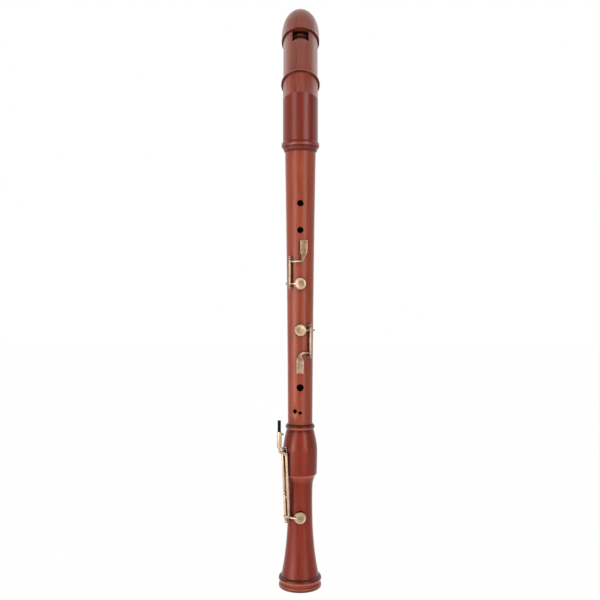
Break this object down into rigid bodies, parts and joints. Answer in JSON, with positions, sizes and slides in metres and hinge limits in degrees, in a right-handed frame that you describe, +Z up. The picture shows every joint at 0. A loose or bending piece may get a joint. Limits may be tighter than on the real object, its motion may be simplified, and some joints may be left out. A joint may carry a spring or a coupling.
{
  "type": "bass recorder",
  "caption": "Bass recorder with bent head and direct-blow cap, turned and jointed wood, sprung keys with padded cups, and an adjustable foot key touch.",
  "frame": {"origin": "centre of the foot's end face, on the bore axis", "axes": "+Z up the bore of the foot and middle joints, -Y the side with the finger holes, +Y towards the player, +X to the right seen from the finger holes"},
  "size_m": [0.066, 0.1649, 0.9052],
  "materials": {
    "stained_wood_dark": "stained and oiled, satin",
    "stained_wood": "stained and oiled, satin",
    "cedar": "bare",
    "cork": "bare cork",
    "key_brass": "polished, a little aged",
    "steel": "fine brushed",
    "pad_leather": "soft kid",
    "black_touch": "satin black"
  },
  "bodies": {
    "foot": {"foot_joint": "stained_wood_dark", "foot_key_lower_post": "key_brass", "foot_key_middle_post": "key_brass", "foot_key_upper_post": "key_brass", "foot_key_hinge_rod": "steel", "foot_key_spring_post": "key_brass", "foot_key_spring": "steel"},
    "middle": {"middle_joint": "stained_wood", "foot_tenon_cork": "cork", "knee_tenon_cork": "cork", "upper_key_lower_post": "key_brass", "upper_key_upper_post": "key_brass", "upper_key_hinge_rod": "steel", "upper_key_spring": "steel", "lower_key_lower_post": "key_brass", "lower_key_upper_post": "key_brass", "lower_key_hinge_rod": "steel", "lower_key_spring": "steel", "thumb_rest": "key_brass", "thumb_rest_lower_screw": "steel", "thumb_rest_upper_screw": "steel", "strap_eye": "key_brass"},
    "knee": {"knee_lower_half": "stained_wood_dark", "knee_upper_half": "stained_wood_dark"},
    "head": {"head_joint": "stained_wood_dark", "head_tenon_cork": "cork", "cap_cork": "cork", "head_block": "cedar"},
    "cap": {"cap": "stained_wood_dark"},
    "upper_key": {"upper_key": "key_brass", "upper_key_pad": "pad_leather"},
    "lower_key": {"lower_key": "key_brass", "lower_key_pad": "pad_leather"},
    "foot_key": {"foot_key": "key_brass", "foot_key_pad": "pad_leather"},
    "foot_key_touch": {"foot_key_touch": "black_touch"},
    "clamp_screw": {"foot_key_clamp_screw": "steel"},
    "strap_ring": {"strap_ring": "key_brass"}
  },
  "joints": [
    {"name": "foot_turn", "type": "hinge", "parent": "foot", "child": "middle", "pos_m": [0, 0, 0.245], "axis": [0, 0, 1], "range_deg": [-25, 25]},
    {"name": "knee_turn", "type": "hinge", "parent": "middle", "child": "knee", "pos_m": [0, 0, 0.6503], "axis": [0, 0, 1], "range_deg": [-30, 30]},
    {"name": "head_tuning_slide", "type": "slide", "parent": "knee", "child": "head", "axis": [0, 0.5878, 0.809], "range_m": [0, 0.01]},
    {"name": "cap_slide", "type": "slide", "parent": "head", "child": "cap", "axis": [0, 0.5878, 0.809], "range_m": [0, 0.048]},
    {"name": "upper_key_hinge", "type": "hinge", "parent": "middle", "child": "upper_key", "pos_m": [-0.0155, -0.01872, 0.4687], "axis": [0, 0, 1], "range_deg": [0, 10.5], "stiffness_Nm_per_rad": 0.06, "springref_deg": -20.05},
    {"name": "lower_key_hinge", "type": "hinge", "parent": "middle", "child": "lower_key", "pos_m": [0.0155, -0.01734, 0.3675], "axis": [0, 0, -1], "range_deg": [0, 10.5], "stiffness_Nm_per_rad": 0.06, "springref_deg": -20.05},
    {"name": "foot_key_hinge", "type": "hinge", "parent": "foot", "child": "foot_key", "pos_m": [-0.0207, -0.0113, 0.1001], "axis": [-0.0459, -0.0281, 0.9985], "range_deg": [0, 6], "stiffness_Nm_per_rad": 0.08, "springref_deg": -20.05},
    {"name": "foot_key_touch_slide", "type": "slide", "parent": "foot_key", "child": "foot_key_touch", "axis": [0, 0, 1], "range_m": [-0.008, 0.006]},
    {"name": "clamp_screw_turn", "type": "hinge", "parent": "foot_key", "child": "clamp_screw", "pos_m": [-0.0306, -0.028, 0.232], "axis": [1, 0, 0], "continuous": true},
    {"name": "strap_ring_swing", "type": "hinge", "parent": "middle", "child": "strap_ring", "pos_m": [0, 0.02724, 0.604], "axis": [1, 0, 0], "range_deg": [-8, 150]}
  ]
}
